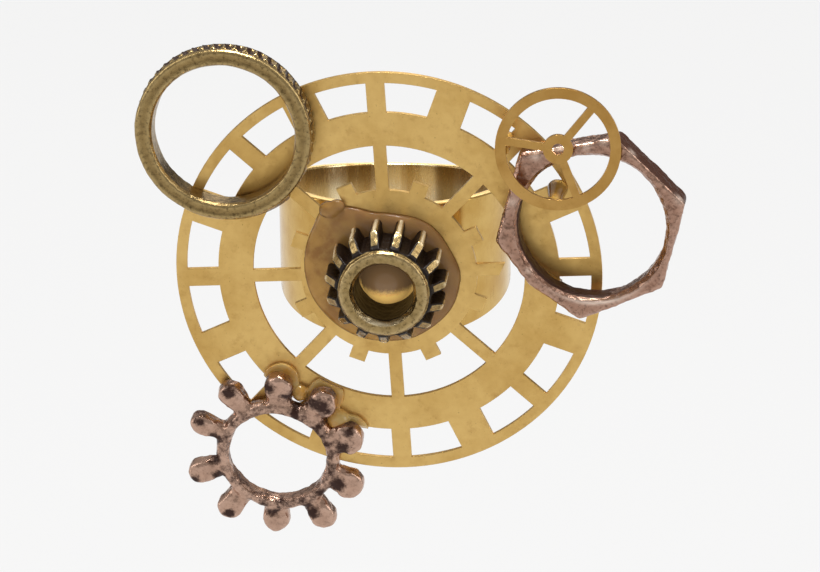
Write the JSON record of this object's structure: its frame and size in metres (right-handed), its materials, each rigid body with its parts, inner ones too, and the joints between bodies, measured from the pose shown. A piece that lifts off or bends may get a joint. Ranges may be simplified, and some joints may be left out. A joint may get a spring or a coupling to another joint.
{
  "type": "cog finger ring",
  "caption": "Finger ring with a tapered band and a pierced round dial that carries a glued centre pinion, a knurled ring, a six-sided ring, a lobed gear and a small spoked wheel.",
  "frame": {"origin": "centre of the finger bore, halfway up the band", "axes": "+Z along the bore axis, upwards; the dial faces -Y; +X to the right of someone who looks at the dial"},
  "size_m": [0.0462, 0.0256, 0.0448],
  "materials": {
    "polished_brass": "polished, with fine wear",
    "cut_brass": "satin sheet with slight stains",
    "antique_brass": "worn olive brass with near-black hollows",
    "antique_copper": "worn pinkish copper with dark red-brown hollows",
    "clear_glue": "clear, glossy, yellowish-brown"
  },
  "bodies": {
    "root": {"finger_band": "polished_brass", "dial_wheel": "cut_brass", "dial_adhesive": "clear_glue", "centre_pinion": "antique_brass", "centre_adhesive": "clear_glue", "bore_adhesive": "clear_glue", "knurled_ring": "antique_brass", "knurled_ring_adhesive": "clear_glue", "hex_ring": "antique_copper", "hex_ring_adhesive": "clear_glue", "star_gear": "antique_copper", "star_gear_adhesive": "clear_glue", "balance_wheel": "cut_brass", "balance_wheel_adhesive": "clear_glue"}
  },
  "joints": []
}
